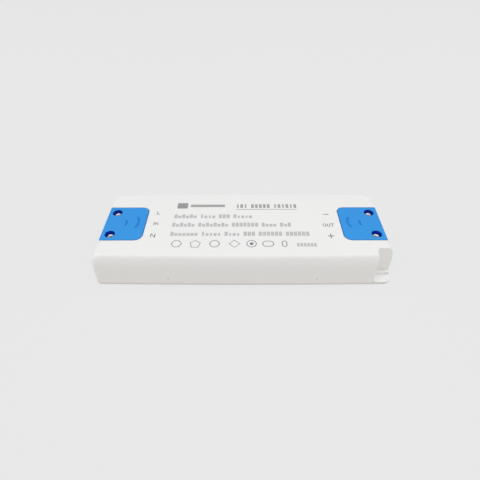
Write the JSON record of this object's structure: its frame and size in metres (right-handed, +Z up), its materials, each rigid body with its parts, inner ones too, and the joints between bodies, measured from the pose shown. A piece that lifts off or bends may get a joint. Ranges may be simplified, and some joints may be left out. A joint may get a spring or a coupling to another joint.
{
  "type": "power supply",
  "caption": "Slim plastic-cased mains power supply for LED lighting, with screwed terminal covers at both ends and a corner mounting ear.",
  "frame": {"origin": "centre of the case's underside, on the surface that it stands on", "axes": "+X along the case to the output end, +Y to the back, +Z up out of the printed top face"},
  "size_m": [0.161, 0.0568, 0.0207],
  "materials": {
    "white_plastic": "fine moulded satin",
    "blue_plastic": "fine moulded satin",
    "steel": "plated, bright",
    "board": "solder mask",
    "terminal_plastic": "moulded",
    "brass": "plain",
    "glass_fuse": "sleeved",
    "blue_epoxy": "dipped",
    "green_epoxy": "dipped",
    "yellow_box": "moulded box",
    "ferrite": "sintered",
    "copper_wire": "enamelled wire",
    "black_epoxy": "moulded",
    "capacitor_sleeve": "shrunk sleeve",
    "aluminium": "mill finish",
    "tape": "polyester tape",
    "black_plastic": "moulded"
  },
  "bodies": {
    "root": {"top_cover": "white_plastic", "base_tray": "white_plastic", "input_terminal_cover": "blue_plastic", "output_terminal_cover": "blue_plastic", "cover_screw_input_front": "steel", "cover_screw_input_back": "steel", "cover_screw_output_front": "steel", "cover_screw_output_back": "steel", "circuit_board": "board", "input_terminal_block": "terminal_plastic", "output_terminal_block": "terminal_plastic", "input_clamp_live": "brass", "input_clamp_neutral": "brass", "output_clamp_negative": "brass", "output_clamp_positive": "brass", "input_clamp_screw_live": "steel", "input_clamp_screw_neutral": "steel", "output_clamp_screw_negative": "steel", "output_clamp_screw_positive": "steel", "fuse": "glass_fuse", "varistor": "blue_epoxy", "inrush_thermistor": "green_epoxy", "x_capacitor": "yellow_box", "choke_core": "ferrite", "choke_winding_front": "copper_wire", "choke_winding_back": "copper_wire", "bridge_rectifier": "black_epoxy", "bulk_capacitor_front": "capacitor_sleeve", "bulk_capacitor_back": "capacitor_sleeve", "primary_heatsink": "aluminium", "switching_transistor": "black_epoxy", "heatsink_screw_primary": "steel", "controller_chip": "black_epoxy", "transformer_bobbin": "black_plastic", "transformer_winding": "tape", "transformer_core_left": "ferrite", "transformer_core_right": "ferrite", "y_capacitor": "blue_epoxy", "optocoupler": "black_epoxy", "secondary_heatsink": "aluminium", "output_diode": "black_epoxy", "heatsink_screw_secondary": "steel", "output_capacitor_front": "capacitor_sleeve", "output_capacitor_back": "capacitor_sleeve", "output_inductor_core": "ferrite", "output_inductor_winding": "copper_wire"}
  },
  "joints": []
}
